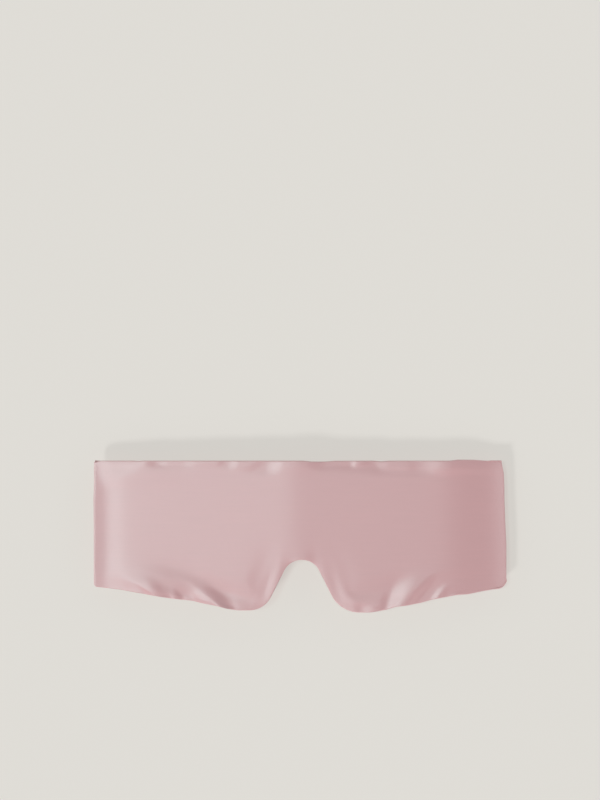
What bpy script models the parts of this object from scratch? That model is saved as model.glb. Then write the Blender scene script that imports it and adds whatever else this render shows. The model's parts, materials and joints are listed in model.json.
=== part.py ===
"""A wrap-around sleep eye mask of padded satin, as a Blender script.

The mask is a closed loop that lies flat. The shaped front pad is on top, folded at its two
ends, and the two wings of the band lie under it. The left wing is the inner one and carries a
loop strip. The right wing ends in a thin hook tab, which passes under the left wing and is
fastened to that strip.

Frame: +X to the right of the front pad, +Y towards its straight top edge, +Z out of its satin
face. The origin is the middle of the footprint, on the surface that the mask lies on. Metres.
"""

import math

import bmesh
import bpy
from mathutils import Matrix, Vector

# The front pad's outline.
WIDTH = 0.285  # between the two folds, half of a 570 mm loop
HEIGHT = 0.105  # from the lobes' lowest points to the top edge
NOTCH_DEPTH = 0.036
NOTCH_TOP_RADIUS = 0.013
FLANK_ANGLE = math.radians(63.4)  # the notch's flanks, from the horizontal
LOBE_X = 0.043  # the lobes' lowest points, from the centre
LOBE_RADIUS = 0.060
LOWER_SLOPE = 0.175  # rise of the lower edge from a lobe to its fold
CORNER_RADIUS = 0.005  # the lower corners, where the seam turns into the fold

# The wings, measured from the fold that each one hangs on.
LEFT_LENGTH = 0.1395  # the inner wing ends short of the centre, so opening never crosses it
RIGHT_LENGTH = 0.1345
WING_LOW_SLOPE = 0.19
WING_TOP_SLOPE = 0.077
TIP_RADIUS = 0.008
TAB_ROOT_X = 0.007
TAB_TIP_X = -0.090
TAB_HEIGHT = 0.046
TAB_TIP_RADIUS = 0.012
STEP_START = 0.0385  # the inner wing thins over the hook tab, from here ...
STEP_END = 0.0445  # ... to here
END_TAPER = 0.014  # the outer wing thins to the tab over this length

# Heights and thicknesses.
GAP = 0.0003  # between neighbouring layers
SEAM_GAP = 0.00015  # from a seam's plane to each of the two cloths that it joins
FACE_CLOTH = 0.0008  # satin and lining of the front pad, with their fused backing
BAND_CLOTH = 0.0007  # satin and lining of the wings and the tab
FOLD_AXIS_Z = 0.009
PAD_SEAM_Z = 0.0116
PAD_TOP_Z = 0.0186  # at the middle, where the pad is fullest
PAD_FALL = 0.031  # how fast its top falls from there to each fold
PAD_BOTTOM_Z = FOLD_AXIS_Z + GAP
BLACKOUT_HALF = 0.00025
FOLD_LIFT = 0.003  # the outer face of a wing leaves the surface near its fold ...
FOLD_LIFT_LENGTH = 0.024  # ... over this length
FOLD_LIFT_BREAK = 0.0156  # where the curve of that rise is broken by one more column
WING_SEAM_Z = 0.00725
WING_INNER_Z = 0.008  # outer side of the wing's padding, where its lining begins
STRAP_OUTER_Z = 0.0058  # satin of the inner wing, where it lies over the hook tab
TAB_SEAM_Z = 0.00135
TAB_INNER_Z = 0.002

# The edges.
PAD_EDGE = 0.016  # the pad rises to its full height over this distance
PAD_ROWS = (0.0, 0.003, 0.008, PAD_EDGE)
WING_EDGE = 0.005
WING_TIP_STEPS = (WING_EDGE, 0.0024, 0.0007, 0.0)  # columns inside its rounded tip
TAB_EDGE = 0.004
TAB_TIP_STEPS = (TAB_TIP_RADIUS, 0.007, TAB_EDGE, 0.0017, 0.0005, 0.0)
TIP_TURN = (0.6, 0.35)  # where a seam turns into a rounded tip, as parts of its radius
FOLD_CLEARANCE = 0.0002
FOLD_PROFILE = ((FOLD_CLEARANCE, 0.35), (0.003, 0.7), (0.008, 1.0))  # (from the fold, height)
THREAD_RADIUS = 0.0002
THREAD_INSET = 0.0016
STITCH = 0.0026  # one stitch's length
STITCH_WAVE = 0.00008  # how far the seam's thread wanders between the two cloths
TAB_STITCH = 0.006  # spacing of the points across the tab's tip
THREAD_LIFT = 0.0001  # between a tape and the thread that lies on it

# The hook and loop fastening.
LOOP_STRIP_X = (-0.088, -0.008)
HOOK_PATCH_X = (-0.084, -0.044)
TAPE_HEIGHT = 0.038
SELVAGE = 0.0025
TAPE_BASE = 0.0005
LOOP_PILE = 0.0005
HOOK_PILE = 0.0007

HALF = WIDTH / 2
TOP_Y = HEIGHT / 2
LOBE_Y = -HEIGHT / 2
LOWER_ANGLE = math.atan(LOWER_SLOPE)
STRAP_MID_Y = TOP_Y - 0.0365  # middle of the closure, between the wings' tapered edges
HINGE_GAP = 0.0005  # from the tab's hinge to the tab, and to the wing

ROSE = (0.72, 0.46, 0.46, 1.0)
ROSE_BACK = (0.66, 0.43, 0.43, 1.0)
WHITE_WADDING = (0.86, 0.85, 0.83, 1.0)
BLACK = (0.02, 0.02, 0.022, 1.0)
THREAD = (0.63, 0.40, 0.40, 1.0)
TAPE = (0.55, 0.35, 0.35, 1.0)


def clear_scene():
    for obj in list(bpy.data.objects):
        bpy.data.objects.remove(obj, do_unlink=True)


def make_material(name, colour, roughness):
    material = bpy.data.materials.new(name + "_material")
    material.use_nodes = True
    shader = material.node_tree.nodes["Principled BSDF"]
    shader.inputs["Base Color"].default_value = colour
    shader.inputs["Roughness"].default_value = roughness
    shader.inputs["Metallic"].default_value = 0.0
    return material


def mix(low, high, part):
    return low + (high - low) * part


# Outlines.


def notch_height(x):
    """Height of the lower edge above the lobes: a round top, straight flanks and two flares."""
    sine, cosine, tangent = math.sin(FLANK_ANGLE), math.cos(FLANK_ANGLE), math.tan(FLANK_ANGLE)
    arc_end = NOTCH_TOP_RADIUS * sine
    arc_end_y = NOTCH_DEPTH - NOTCH_TOP_RADIUS * (1 - cosine)
    flare = (tangent * (LOBE_X - arc_end) - arc_end_y) / (1 / cosine - 1)
    if x <= arc_end:
        return NOTCH_DEPTH - NOTCH_TOP_RADIUS + math.sqrt(NOTCH_TOP_RADIUS**2 - x**2)
    if x <= LOBE_X - flare * sine:
        return arc_end_y - tangent * (x - arc_end)
    return flare - math.sqrt(flare**2 - (LOBE_X - x) ** 2)


def pad_low(x):
    """The front pad's lower edge at x."""
    x = abs(x)
    if x <= LOBE_X:
        return LOBE_Y + notch_height(x)
    lobe_end = LOBE_X + LOBE_RADIUS * math.sin(LOWER_ANGLE)
    if x <= lobe_end:
        y = LOBE_RADIUS - math.sqrt(LOBE_RADIUS**2 - (x - LOBE_X) ** 2)
    else:
        y = LOBE_RADIUS * (1 - math.cos(LOWER_ANGLE)) + LOWER_SLOPE * (x - lobe_end)
    return LOBE_Y + y + corner_cut(HALF - x, CORNER_RADIUS)


def corner_cut(distance, radius):
    """How much a round corner takes off the height, at this distance from the end."""
    if distance >= radius:
        return 0.0
    return radius - math.sqrt(max(radius**2 - (radius - distance) ** 2, 0.0))


def pad_slant(x):
    """Length along the lower edge for each unit of x, which sets the rows square to the edge."""
    step = 1e-5
    return math.hypot(1.0, (pad_low(x + step) - pad_low(x - step)) / (2 * step))


def wing_low(s, length):
    """A wing's lower edge, s from its fold. It starts where the pad's lower edge ends."""
    side_low = pad_low(HALF - CORNER_RADIUS)
    cut = corner_cut(s, CORNER_RADIUS) + corner_cut(length - s, TIP_RADIUS)
    return side_low + WING_LOW_SLOPE * s + cut


def wing_top(s, length):
    return TOP_Y - WING_TOP_SLOPE * s - corner_cut(length - s, TIP_RADIUS)


def tab_half_height(x):
    return TAB_HEIGHT / 2 - corner_cut(x - TAB_TIP_X, TAB_TIP_RADIUS)


# Sections.


def outer_height(side, s):
    """Height of the outer face of a wing's padding's satin, s from the fold."""
    fold_rise = FOLD_LIFT * max(0.0, 1 - s / FOLD_LIFT_LENGTH) ** 2
    if side > 0:
        return fold_rise
    step = min(max((s - STEP_START) / (STEP_END - STEP_START), 0.0), 1.0)
    return fold_rise + STRAP_OUTER_Z * step


def end_part(side, s):
    """0 along a wing, rising to 1 where the right wing meets its tab."""
    if side < 0:
        return 0.0
    return min(max((s - (RIGHT_LENGTH - END_TAPER)) / (END_TAPER - WING_EDGE), 0.0), 1.0)


def inner_height(side, s):
    return mix(WING_INNER_Z, TAB_INNER_Z, end_part(side, s))


def seam_height(side, s):
    return mix(WING_SEAM_Z, TAB_SEAM_Z, end_part(side, s))


# Solids.


def finish_object(name, data, colour, roughness, pivot):
    """Links an object for this sub-part, with its origin on its pivot."""
    obj = bpy.data.objects.new(name, data)
    bpy.context.scene.collection.objects.link(obj)
    data.transform(Matrix.Translation(-pivot.location))
    data.materials.append(make_material(name, colour, roughness))
    obj.parent = pivot
    return obj


def cloth_solid(name, points, colour, roughness, pivot):
    """A closed sheet or pad. points[i][j] is (x, y, low z, high z) on a grid."""
    mesh = bpy.data.meshes.new(name)
    form = bmesh.new()
    low = [[form.verts.new((x, y, a)) for x, y, a, _ in column] for column in points]
    high = [[form.verts.new((x, y, b)) for x, y, _, b in column] for column in points]
    columns, rows = len(points), len(points[0])
    for i in range(columns - 1):
        for j in range(rows - 1):
            for layer in (low, high):
                form.faces.new((layer[i][j], layer[i + 1][j], layer[i + 1][j + 1]))
                form.faces.new((layer[i][j], layer[i + 1][j + 1], layer[i][j + 1]))
    rim = [(i, 0) for i in range(columns)]
    rim += [(columns - 1, j) for j in range(1, rows)]
    rim += [(i, rows - 1) for i in range(columns - 2, -1, -1)]
    rim += [(0, j) for j in range(rows - 2, 0, -1)]
    for (i, j), (k, m) in zip(rim, rim[1:] + rim[:1]):
        form.faces.new((low[i][j], low[k][m], high[k][m], high[i][j]))
    bmesh.ops.recalc_face_normals(form, faces=form.faces)
    form.to_mesh(mesh)
    form.free()
    mesh.shade_smooth()
    mesh.set_sharp_from_angle(angle=math.radians(40))
    return finish_object(name, mesh, colour, roughness, pivot)


def thread(name, path, pivot, closed=False):
    """A sewing thread that follows a path of points."""
    curve = bpy.data.curves.new(name, "CURVE")
    curve.dimensions = "3D"
    curve.bevel_depth = THREAD_RADIUS
    curve.bevel_resolution = 1
    curve.use_fill_caps = not closed
    spline = curve.splines.new("POLY")
    spline.points.add(len(path) - 1)
    for point, place in zip(spline.points, path):
        point.co = (*place, 1.0)
    spline.use_cyclic_u = closed
    return finish_object(name, curve, THREAD, 0.5, pivot)


def stepped(start, end, spacing):
    """Even steps from start to end, no longer than spacing."""
    count = max(1, math.ceil(abs(end - start) / spacing))
    return [mix(start, end, k / count) for k in range(count + 1)]


# The front pad.


def pad_columns(inside):
    """x of each column of the pad, closer together where the outline bends.

    A layer inside the pad ends where the cloths begin to close in on each fold.
    """
    arc_end = NOTCH_TOP_RADIUS * math.sin(FLANK_ANGLE)
    half = [arc_end * k / 2 for k in range(3)]
    half += [0.0155, 0.019, 0.024, 0.031, LOBE_X]
    half += stepped(LOBE_X, HALF - FOLD_PROFILE[-1][0], 0.024)[1:]
    if not inside:
        half += [HALF - distance for distance, _ in reversed(FOLD_PROFILE[:-1])]
    return [-x for x in reversed(half[1:])] + half


def fold_part(x):
    """The pad's height near a fold, as a part of its full height."""
    distance = HALF - abs(x)
    for (near, low), (far, high) in zip(FOLD_PROFILE, FOLD_PROFILE[1:]):
        if distance <= far:
            return mix(low, high, max(distance - near, 0.0) / (far - near))
    return 1.0


def pad_solid(name, rows, heights, colour, roughness, pivot):
    """One layer of the pad. heights(part, |x|) is its (low, high), rows are from its edges."""
    points = []
    for x in pad_columns(inside=rows[0] > 0):
        low, slant = pad_low(x), pad_slant(min(abs(x), HALF - CORNER_RADIUS))
        column = []
        for y, row in [(low + row * slant, row) for row in rows] + [
            (TOP_Y - row, row) for row in reversed(rows)
        ]:
            rise = math.sqrt(1 - (1 - row / PAD_EDGE) ** 2)
            column.append((x, y, *heights(rise * fold_part(x), abs(x))))
        points.append(column)
    return cloth_solid(name, points, colour, roughness, pivot)


def satin_bottom(part, x):
    """Underside of the front satin. part runs from 0 at a seam to 1 where the pad is full."""
    edge = PAD_SEAM_Z + SEAM_GAP
    return mix(edge, PAD_TOP_Z - PAD_FALL * x - FACE_CLOTH, part)


def lining_top(part):
    edge = PAD_SEAM_Z - SEAM_GAP
    return mix(edge, PAD_BOTTOM_Z + FACE_CLOTH, part)


def front_pad(pivot):
    """The five layers of the pad, from the satin outside to the lining on the face."""
    inner_rows = PAD_ROWS[1:]
    pad_solid(
        "front_satin",
        PAD_ROWS,
        lambda part, x: (satin_bottom(part, x), satin_bottom(part, x) + FACE_CLOTH),
        ROSE,
        0.35,
        pivot,
    )
    pad_solid(
        "front_wadding",
        inner_rows,
        lambda part, x: (PAD_SEAM_Z + BLACKOUT_HALF + GAP, satin_bottom(part, x) - GAP),
        WHITE_WADDING,
        0.95,
        pivot,
    )
    pad_solid(
        "blackout_layer",
        inner_rows[:1],
        lambda part, x: (PAD_SEAM_Z - BLACKOUT_HALF, PAD_SEAM_Z + BLACKOUT_HALF),
        BLACK,
        0.8,
        pivot,
    )
    pad_solid(
        "face_wadding",
        inner_rows,
        lambda part, x: (lining_top(part) + GAP, PAD_SEAM_Z - BLACKOUT_HALF - GAP),
        WHITE_WADDING,
        0.95,
        pivot,
    )
    pad_solid(
        "face_lining",
        PAD_ROWS,
        lambda part, x: (lining_top(part) - FACE_CLOTH, lining_top(part)),
        ROSE_BACK,
        0.4,
        pivot,
    )


def pad_seams(pivot):
    """The two seams' threads, just inside the pad's upper and lower edges."""
    end = HALF - CORNER_RADIUS
    spans = stepped(-end, end, 2 * STITCH)
    wave = [STITCH_WAVE * (-1) ** k for k in range(len(spans))]
    top = [(x, TOP_Y - THREAD_INSET, PAD_SEAM_Z + dz) for x, dz in zip(spans, wave)]
    thread("front_top_seam", top, pivot)
    low = [
        (x, pad_low(x) + THREAD_INSET * pad_slant(x), PAD_SEAM_Z + dz)
        for x, dz in zip(spans, wave)
    ]
    thread("front_bottom_seam", low, pivot)


# The wings.


def wing_columns(side, length):
    """Distances from the fold of a wing's columns."""
    columns = [distance for distance, _ in FOLD_PROFILE]
    columns += [FOLD_LIFT_BREAK, FOLD_LIFT_LENGTH]
    if side < 0:
        columns += [STEP_START, STEP_END]
    else:
        columns += [length - END_TAPER]
    columns += [length - TIP_RADIUS]
    return columns + [length - step for step in WING_TIP_STEPS]


def wing_solid(name, side, edge_rows, heights, colour, roughness, pivot):
    """One layer of a wing. With edge_rows it reaches the seams, and closes there."""
    length = LEFT_LENGTH if side < 0 else RIGHT_LENGTH
    rows = (0.0, WING_EDGE) if edge_rows else (WING_EDGE,)
    points = []
    for s in wing_columns(side, length):
        if s > length - WING_EDGE and not edge_rows:
            break
        low, top = wing_low(s, length), wing_top(s, length)
        ends = [(low + row, row) for row in rows] + [(top - row, row) for row in reversed(rows)]
        to_tip = length - s
        column = []
        for y, row in ends:
            part = min(row, to_tip) / WING_EDGE
            column.append((side * (HALF - s), y, *heights(s, min(part, 1.0))))
        points.append(column)
    return cloth_solid(name, points, colour, roughness, pivot)


def wing(side_name, side, pivot):
    """Satin, wadding and lining of one wing, and the thread of the seam round it."""

    def satin_low(s, part):
        edge = seam_height(side, s) - SEAM_GAP - BAND_CLOTH
        return mix(edge, outer_height(side, s), part)

    def lining_low(s, part):
        return mix(seam_height(side, s) + SEAM_GAP, inner_height(side, s), part)

    wing_solid(
        side_name + "_satin",
        side,
        True,
        lambda s, part: (satin_low(s, part), satin_low(s, part) + BAND_CLOTH),
        ROSE,
        0.35,
        pivot,
    )
    wing_solid(
        side_name + "_wadding",
        side,
        False,
        lambda s, part: (satin_low(s, 1.0) + BAND_CLOTH + GAP, lining_low(s, 1.0) - GAP),
        WHITE_WADDING,
        0.95,
        pivot,
    )
    wing_solid(
        side_name + "_lining",
        side,
        True,
        lambda s, part: (lining_low(s, part), lining_low(s, part) + BAND_CLOTH),
        ROSE_BACK,
        0.4,
        pivot,
    )
    thread(side_name + "_seam", wing_seam_path(side), pivot)


def wing_seam_path(side):
    """Along the lower edge from the fold, round the tip and back along the top edge."""
    length = LEFT_LENGTH if side < 0 else RIGHT_LENGTH
    end = length - THREAD_INSET
    along = stepped(CORNER_RADIUS, length - TIP_RADIUS, 3 * STITCH)
    along += [length - TIP_RADIUS * part for part in TIP_TURN]
    low = [(s, wing_low(s, length) + THREAD_INSET) for s in along]
    top = [(s, wing_top(s, length) - THREAD_INSET) for s in reversed(along)]
    across = [
        (end, y)
        for y in stepped(wing_low(end, length), wing_top(end, length), 2 * STITCH)[1:-1]
    ]
    return [
        (side * (HALF - s), y, seam_height(side, s) + STITCH_WAVE * (-1) ** k)
        for k, (s, y) in enumerate(low + across + top)
    ]


# The closure.


def tab_solid(name, edge_rows, heights, colour, pivot):
    """One layer of the hook tab, from its root at the outer wing to its round tip."""
    rows = (0.0, TAB_EDGE) if edge_rows else (TAB_EDGE,)
    points = []
    for x in [TAB_ROOT_X] + [TAB_TIP_X + step for step in TAB_TIP_STEPS]:
        to_tip = x - TAB_TIP_X
        if to_tip < TAB_EDGE and not edge_rows:
            break
        half = tab_half_height(x)
        column = []
        for row in rows:
            part = min(row, to_tip) / TAB_EDGE
            column.append((x, STRAP_MID_Y - half + row, *heights(part)))
        for row in reversed(rows):
            part = min(row, to_tip) / TAB_EDGE
            column.append((x, STRAP_MID_Y + half - row, *heights(part)))
        points.append(column)
    return cloth_solid(name, points, colour, 0.4, pivot)


def hook_tab(pivot):
    """Satin, interfacing and lining of the tab, and its seam."""

    def satin_low(part):
        return mix(TAB_SEAM_Z - SEAM_GAP - BAND_CLOTH, 0.0, part)

    def lining_low(part):
        return mix(TAB_SEAM_Z + SEAM_GAP, TAB_INNER_Z, part)

    tab_solid(
        "hook_tab_satin",
        True,
        lambda part: (satin_low(part), satin_low(part) + BAND_CLOTH),
        ROSE,
        pivot,
    )
    tab_solid(
        "hook_tab_interfacing",
        False,
        lambda part: (BAND_CLOTH + GAP, TAB_INNER_Z - GAP),
        WHITE_WADDING,
        pivot,
    )
    tab_solid(
        "hook_tab_lining",
        True,
        lambda part: (lining_low(part), lining_low(part) + BAND_CLOTH),
        ROSE_BACK,
        pivot,
    )
    along = stepped(TAB_ROOT_X - TAB_EDGE, TAB_TIP_X + TAB_TIP_RADIUS, 3 * STITCH)
    along += [TAB_TIP_X + TAB_TIP_RADIUS * part for part in TIP_TURN]
    low = [(x, STRAP_MID_Y - tab_half_height(x) + THREAD_INSET) for x in along]
    top = [(x, 2 * STRAP_MID_Y - y) for x, y in reversed(low)]
    reach = tab_half_height(TAB_TIP_X + THREAD_INSET)
    across = [
        (TAB_TIP_X + THREAD_INSET, STRAP_MID_Y + y)
        for y in stepped(-reach, reach, TAB_STITCH)[1:-1]
    ]
    path = [(x, y, TAB_SEAM_Z) for x, y in low + across + top]
    thread("hook_tab_seam", path, pivot)


def tape(name, span, base_z, pile, facing, pivot):
    """A piece of hook or loop tape: a woven base with a raised field inside its selvage."""
    low_x, high_x = span
    rows = (-TAPE_HEIGHT / 2, -TAPE_HEIGHT / 2 + SELVAGE)
    rows += tuple(-row for row in reversed(rows))
    mesh = bpy.data.meshes.new(name)
    form = bmesh.new()
    bmesh.ops.create_cube(form, size=1.0)
    size = Vector((high_x - low_x, rows[-1] - rows[0], TAPE_BASE))
    middle = Vector(((low_x + high_x) / 2, STRAP_MID_Y, base_z + facing * TAPE_BASE / 2))
    bmesh.ops.transform(form, matrix=Matrix.Diagonal((*size, 1.0)), verts=form.verts)
    bmesh.ops.transform(form, matrix=Matrix.Translation(middle), verts=form.verts)
    field = [face for face in form.faces if face.normal.z * facing > 0.5]
    bmesh.ops.inset_region(form, faces=field, thickness=SELVAGE)
    risen = bmesh.ops.extrude_face_region(form, geom=field)
    lifted = [item for item in risen["geom"] if isinstance(item, bmesh.types.BMVert)]
    bmesh.ops.translate(form, verts=lifted, vec=(0, 0, facing * pile))
    bmesh.ops.delete(form, geom=field, context="FACES_ONLY")
    bmesh.ops.recalc_face_normals(form, faces=form.faces)
    form.to_mesh(mesh)
    form.free()
    finish_object(name, mesh, TAPE, 0.9, pivot)
    tape_stitching(name + "_stitching", span, base_z + facing * TAPE_BASE, facing, pivot)


def tape_stitching(name, span, selvage_z, facing, pivot):
    """The closed line of stitching that sews a tape on, along the middle of its selvage."""
    inset = SELVAGE / 2
    x_low, x_high = span[0] + inset, span[1] - inset
    y_low = STRAP_MID_Y - TAPE_HEIGHT / 2 + inset
    y_high = STRAP_MID_Y + TAPE_HEIGHT / 2 - inset
    z = selvage_z + facing * (THREAD_RADIUS + THREAD_LIFT)
    xs = stepped(x_low, x_high, 4 * STITCH)
    ys = stepped(y_low, y_high, 4 * STITCH)
    path = [(x, y_low, z) for x in xs[:-1]] + [(x_high, y, z) for y in ys[:-1]]
    path += [(x, y_high, z) for x in reversed(xs[1:])] + [(x_low, y, z) for y in reversed(ys[1:])]
    thread(name, path, pivot, closed=True)


def closure(left_pivot, tab_pivot):
    loop_base_z = STRAP_OUTER_Z - GAP
    hook_base_z = TAB_INNER_Z + BAND_CLOTH + GAP
    tape("loop_strip", LOOP_STRIP_X, loop_base_z, LOOP_PILE, -1, left_pivot)
    tape("hook_patch", HOOK_PATCH_X, hook_base_z, HOOK_PILE, 1, tab_pivot)


def make_pivot(name, location, parent=None):
    """An empty that its body's pieces are parented to, on the joint's axis."""
    pivot = bpy.data.objects.new(name, None)
    pivot.empty_display_size = 0.02
    pivot.location = location
    bpy.context.scene.collection.objects.link(pivot)
    if parent:
        pivot.parent = parent
        pivot.matrix_parent_inverse = Matrix.Translation(-parent.location)
    return pivot


def main():
    clear_scene()
    pad_pivot = make_pivot("pad_centre", Vector((0.0, 0.0, 0.0)))
    left_pivot = make_pivot("left_fold", Vector((-HALF, 0.0, FOLD_AXIS_Z)), pad_pivot)
    right_pivot = make_pivot("right_fold", Vector((HALF, 0.0, FOLD_AXIS_Z)), pad_pivot)
    tab_pivot = make_pivot("tab_hinge", Vector((TAB_ROOT_X + HINGE_GAP, 0.0, 0.0)), right_pivot)
    front_pad(pad_pivot)
    pad_seams(pad_pivot)
    wing("left_wing", -1, left_pivot)
    wing("right_wing", 1, right_pivot)
    hook_tab(tab_pivot)
    closure(left_pivot, tab_pivot)


main()
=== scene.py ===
"""Looks of a padded satin sleep mask that lies folded flat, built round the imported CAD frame.

Each half of the mask is one pillow of satin and lining: it runs from the middle of the front,
round the fold, and along the wing that lies under the front. Both cloths share one grid, with
columns across the band and rows along it, so they meet at the seams.

Side -1 is the left half and side 1 the right one. Lengths are in metres, and MM turns
millimetres into them.
"""

import json
import math

import bpy
import numpy as np
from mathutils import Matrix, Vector


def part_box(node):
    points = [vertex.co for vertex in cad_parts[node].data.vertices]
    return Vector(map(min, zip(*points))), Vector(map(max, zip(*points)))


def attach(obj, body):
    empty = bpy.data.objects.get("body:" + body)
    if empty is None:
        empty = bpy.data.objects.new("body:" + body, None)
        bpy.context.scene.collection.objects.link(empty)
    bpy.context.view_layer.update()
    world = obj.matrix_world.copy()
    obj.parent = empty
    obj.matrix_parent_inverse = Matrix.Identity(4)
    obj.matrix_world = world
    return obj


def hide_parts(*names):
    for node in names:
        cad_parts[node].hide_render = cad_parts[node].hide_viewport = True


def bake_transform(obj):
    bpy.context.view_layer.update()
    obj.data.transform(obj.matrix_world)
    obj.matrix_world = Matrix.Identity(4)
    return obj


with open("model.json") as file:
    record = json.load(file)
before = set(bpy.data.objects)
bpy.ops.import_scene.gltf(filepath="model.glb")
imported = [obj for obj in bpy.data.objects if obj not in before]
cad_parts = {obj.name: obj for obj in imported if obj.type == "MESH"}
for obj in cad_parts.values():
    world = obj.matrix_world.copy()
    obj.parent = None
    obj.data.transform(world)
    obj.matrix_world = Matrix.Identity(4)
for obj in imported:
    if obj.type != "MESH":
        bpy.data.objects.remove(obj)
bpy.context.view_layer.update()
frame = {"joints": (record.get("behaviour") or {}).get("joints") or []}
MM = 0.001
SIDES = {-1: "left", 1: "right"}

# Places from the frame.
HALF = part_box("front_satin")[1].x
TOP_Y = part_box("front_satin")[1].y
LOBE_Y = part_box("front_satin")[0].y
RIDGE_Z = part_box("front_satin")[1].z
LINING_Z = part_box("face_lining")[0].z
SEAM_Z = (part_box("front_top_seam")[0].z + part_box("front_top_seam")[1].z) / 2
WING_SEAM_Z = (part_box("left_wing_seam")[0].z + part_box("left_wing_seam")[1].z) / 2
WING_LINING_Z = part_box("left_wing_lining")[1].z
FOLD_Z = frame["joints"][0]["pos_m"][2]
TAB_LOW, TAB_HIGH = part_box("hook_tab_satin")[0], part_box("hook_tab_lining")[1]
TAB_SEAM_Z = (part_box("hook_tab_seam")[0].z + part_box("hook_tab_seam")[1].z) / 2
TIPS = {-1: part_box("left_wing_satin")[1].x, 1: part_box("right_wing_satin")[0].x}

# The front's outline, seen from above. The notch is a round top, two straight flanks and a
# flare to each lobe, and the lower edge rises straight from each lobe to its fold.
NOTCH_X = 1.2 * MM
NOTCH_DEPTH = 36.2 * MM
NOTCH_RADIUS = 13.5 * MM
FLANK_ANGLE = math.radians(63.5)
# side: (lobe's inner end, lobe's outer end, its height above LOBE_Y)
LOBES = {-1: (35 * MM, 41.5 * MM, 1.2 * MM), 1: (41 * MM, 46.5 * MM, -0.2 * MM)}
LOBE_RADIUS = 25 * MM
LOWER_SLOPE = 0.178
# How much lower than a straight line the lower edge ends at each fold, in mm.
EDGE_EASE = {-1: 1.2, 1: 0.0}
EDGE_EASE_SPAN = (100, 124)
# Radius of the lower corner at each fold.
CORNERS = {-1: 2.4 * MM, 1: 5.5 * MM}
# Waves of the lower edge and of the upper edge: (x, rise), in mm.
LOWER_WAVE = (
    (-94.0, 0.0),
    (-83.0, 0.5),
    (-75.0, 1.1),
    (-66.0, 0.7),
    (-57.0, 0.7),
    (-50.0, 0.0),
    (60.0, 0.0),
    (66.0, 0.9),
    (75.0, 0.3),
    (84.0, 0.4),
    (91.0, 1.2),
    (108.0, 1.4),
    (116.0, 0.4),
    (125.0, 0.7),
    (136.0, 0.6),
    (142.0, 0.8),
)
TOP_WAVE = (
    (-142.0, -1.5),
    (-139.8, -0.9),
    (-137.0, -0.4),
    (-115.0, -0.4),
    (-112.0, -0.7),
    (-108.0, -0.4),
    (2.0, -0.4),
    (8.0, -1.0),
    (18.0, -1.0),
    (24.0, -0.5),
    (50.0, -0.4),
    (56.0, -0.9),
    (62.0, -0.4),
    (80.0, -0.4),
    (104.0, -0.4),
    (110.0, 0.3),
    (122.0, 0.2),
    (130.0, -0.4),
    (142.0, -0.6),
)
# The folds aren't quite straight: (part of the way up, shift outwards in mm), for each side.
FOLD_SWAY = {
    -1: (
        (0.0, 0.2),
        (0.5, 0.3),
        (0.7, 0.5),
        (0.76, 0.3),
        (0.85, 0.1),
        (0.93, 0.2),
        (1.0, 0.1),
    ),
    1: (
        (0.0, 0.6),
        (0.3, 0.6),
        (0.5, -0.2),
        (0.67, -0.7),
        (0.8, -0.8),
        (0.9, -1.2),
        (1.0, -2.9),
    ),
}
SWAY_START = 95 * MM  # the shift grows from here to the fold

# The wings, seen from above.
WING_LOW_SLOPE = 0.19
WING_TOP_SLOPE = 0.077
TIP_RADIUS = 8 * MM

# Sections along the band.
# How the front's crest leans along the band: (x in mm, rise for each step in x).
LEAN = (
    (-142.5, -0.070),
    (-137.0, -0.050),
    (-134.0, 0.010),
    (-131.0, 0.068),
    (-127.5, 0.100),
    (-124.5, 0.082),
    (-121.0, 0.048),
    (-116.0, 0.030),
    (-100.0, 0.027),
    (-60.0, 0.031),
    (-25.0, 0.036),
    (-12.5, 0.036),
    (-7.0, 0.014),
    (0.0, -0.024),
    (5.0, -0.031),
    (80.0, -0.030),
    (95.0, -0.036),
    (108.0, -0.095),
    (114.0, -0.130),
    (127.0, -0.130),
    (132.0, -0.090),
    (137.0, -0.030),
    (142.5, 0.020),
)
CREST_POINTS = 1141
CREST_WINDOW = 16  # points on each side that smooth the crest's slope
CREST_BLUR = 5.0
FOLD_REACH = 0.45 * MM  # width of the fold's upper turn, above the hinge axis
UPPER_FOLD_POWER = 3.0  # how square that turn is: 2 is an ellipse
UNDER_REACH = 24.0 * MM  # width of the lower turn, below the axis
LOWER_FOLD_POWER = 1.7
WING_LOW_Z = 0.2 * MM
TAB_ROOM = 5.6 * MM  # the left wing rises this far to lie over the hook tab ...
TAB_ROOM_SPAN = (36 * MM, 47 * MM)  # ... between these distances from its fold
END_TAPER = 14.0 * MM  # the right wing thins to its tab over this length
LINING_REACH = 1.5 * MM  # the lining stays this far inside the fold ...
LINING_EASE = 16 * MM  # ... and draws in over this length
LINING_GAP = 0.1 * MM  # from the lining's surface to its limits in the frame
FOLD_PULL = 0.5 * MM  # how far the seam is drawn in at the middle of the fold
BEND_REACH = 3.0 * MM  # a column's weight rises from 0 to 1 over this distance past the fold

# Sections across the band.
EDGE_RISE = 0.3 * MM  # the front rises from its seams over this width
WING_EDGE_RISE = 4.0 * MM
UNDERCUT = 0.5 * MM  # the cloths bulge this far past the seam that joins them
CLOTH_GAP = 0.15 * MM  # from a seam to each of its two cloths
EDGE_DROP = 0.55 * MM  # the front is this much lower at its upper seam ...
EDGE_SOFT = 8.0 * MM  # ... which wears off over this distance
LEFT_DROP_SPAN = (-100 * MM, -122 * MM)  # the drop doubles from the first x to the second

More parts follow.
